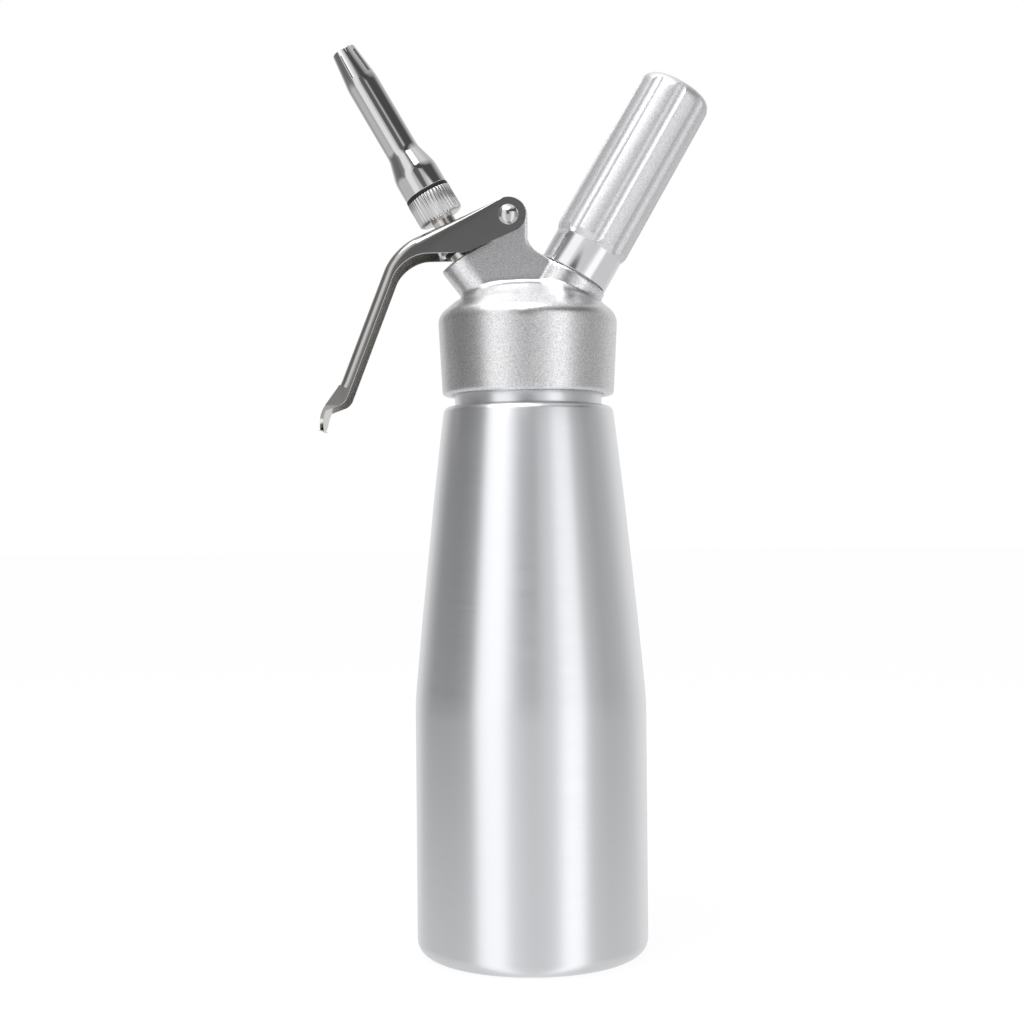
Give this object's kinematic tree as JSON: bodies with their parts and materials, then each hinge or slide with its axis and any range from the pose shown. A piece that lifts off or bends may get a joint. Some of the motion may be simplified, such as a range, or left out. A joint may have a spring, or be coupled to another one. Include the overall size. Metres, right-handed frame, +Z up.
{
  "type": "whipped cream dispenser",
  "caption": "Gas-charged whipped cream dispenser: tapered metal bottle, screw-on head with a sprung lever valve, slotted decorating nozzle and fluted charger holder.",
  "frame": {"origin": "centre of the bottle's base, on the plane that it stands on", "axes": "+Z up along the bottle, the lever and the nozzle towards -X, the charger holder towards +X"},
  "size_m": [0.135, 0.08, 0.3153],
  "materials": {
    "bottle_metal": "brushed round the body",
    "cast_metal": "bead blasted",
    "holder_metal": "blasted grip, polished band",
    "steel_polished": "polished stainless steel",
    "steel_satin": "satin stainless steel",
    "spring_steel": "drawn wire",
    "brass_parts": "turned",
    "black_rubber": "matt",
    "grey_silicone": "matt",
    "bush_plastic": "matt"
  },
  "bodies": {
    "bottle": {"bottle": "bottle_metal"},
    "head_gasket": {"head_gasket": "grey_silicone"},
    "head": {"head_casting": "cast_metal", "guide_bush": "bush_plastic", "valve_spring": "spring_steel", "pin_carrier": "brass_parts", "piercing_pin": "steel_satin", "charger_seal": "black_rubber", "check_valve_disc": "black_rubber", "check_valve_retainer": "brass_parts"},
    "lever": {"lever": "steel_polished", "lever_rivet": "steel_polished", "lever_press_pin": "steel_polished"},
    "valve": {"valve_stem": "steel_satin", "stem_oring": "black_rubber", "valve_seal": "black_rubber", "valve_washer": "steel_satin", "valve_nut": "steel_satin", "flange_wiper": "black_rubber", "nozzle_collar": "steel_satin"},
    "nozzle_ring": {"nozzle_ring": "black_rubber"},
    "nozzle": {"decorating_nozzle": "steel_polished"},
    "charger": {"gas_charger": "steel_satin"},
    "holder": {"charger_holder": "holder_metal"}
  },
  "joints": [
    {"name": "head_rise", "type": "slide", "parent": "bottle", "child": "head_gasket", "axis": [0, 0, 1], "range_m": [0, 0.006]},
    {"name": "head_turn", "type": "hinge", "parent": "head_gasket", "child": "head", "pos_m": [0, 0, 0.21], "axis": [0, 0, 1], "range_deg": [0, 730]},
    {"name": "lever_press", "type": "hinge", "parent": "head", "child": "lever", "pos_m": [-0.0064, 0, 0.2541], "axis": [0, -1, 0], "range_deg": [0, 5.6]},
    {"name": "valve_travel", "type": "slide", "parent": "head", "child": "valve", "axis": [0.5, 0, -0.866], "range_m": [0, 0.00245], "stiffness_N_per_m": 2000, "springref_m": -0.003, "deforming": ["valve_spring"]},
    {"name": "nozzle_rise", "type": "slide", "parent": "valve", "child": "nozzle_ring", "axis": [-0.5, 0, 0.866], "range_m": [0, 0.0025]},
    {"name": "nozzle_turn", "type": "hinge", "parent": "nozzle_ring", "child": "nozzle", "pos_m": [-0.0345, 0, 0.26346], "axis": [-0.5, 0, 0.866], "range_deg": [0, 730]},
    {"name": "charger_rise", "type": "slide", "parent": "head", "child": "charger", "axis": [0.5, 0, 0.866], "range_m": [0, 0.0045]},
    {"name": "holder_turn", "type": "hinge", "parent": "charger", "child": "holder", "pos_m": [0, 0, 0.207], "axis": [0.5, 0, 0.866], "range_deg": [0, 1090]}
  ],
  "couplings": [
    {"joint": "head_turn", "follows": "head_rise", "rad_per_m": 2094.4},
    {"joint": "lever_press", "follows": "valve_travel", "rad_per_m": 38.52},
    {"joint": "nozzle_turn", "follows": "nozzle_rise", "rad_per_m": 5026.6},
    {"joint": "holder_turn", "follows": "charger_rise", "rad_per_m": 4188.8}
  ]
}
